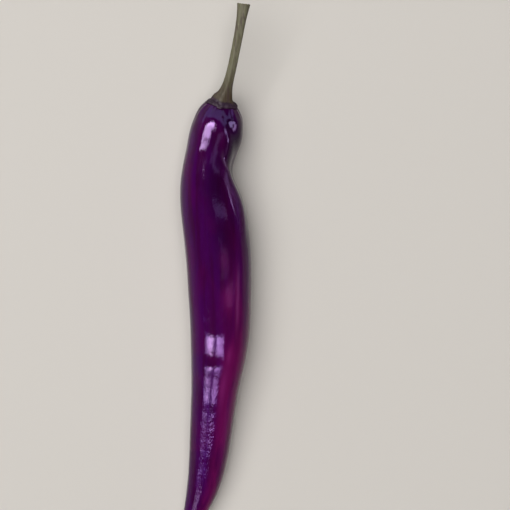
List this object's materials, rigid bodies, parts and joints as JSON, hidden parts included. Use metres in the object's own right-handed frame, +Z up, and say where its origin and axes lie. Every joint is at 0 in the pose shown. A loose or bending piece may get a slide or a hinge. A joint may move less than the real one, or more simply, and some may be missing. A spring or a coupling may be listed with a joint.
{
  "type": "cayenne pepper",
  "caption": "Long glossy purple cayenne pepper, picked, with its calyx and snapped stem, lying on its side; it tapers to a curved tip.",
  "frame": {"origin": "on the surface the pepper lies on, under the middle of its box", "axes": "+Y along the pepper from the tip to the stem's end, +Z up from the surface, +X to the right seen from above with the stem away"},
  "size_m": [0.0219, 0.1634, 0.0194],
  "materials": {
    "pod_skin": "glossy waxy skin, deep purple turning to magenta on the sunlit side",
    "green_stem": "dull grey green, with a mauve brown calyx rim"
  },
  "bodies": {
    "root": {"pod": "pod_skin", "calyx_and_stem": "green_stem"}
  },
  "joints": []
}
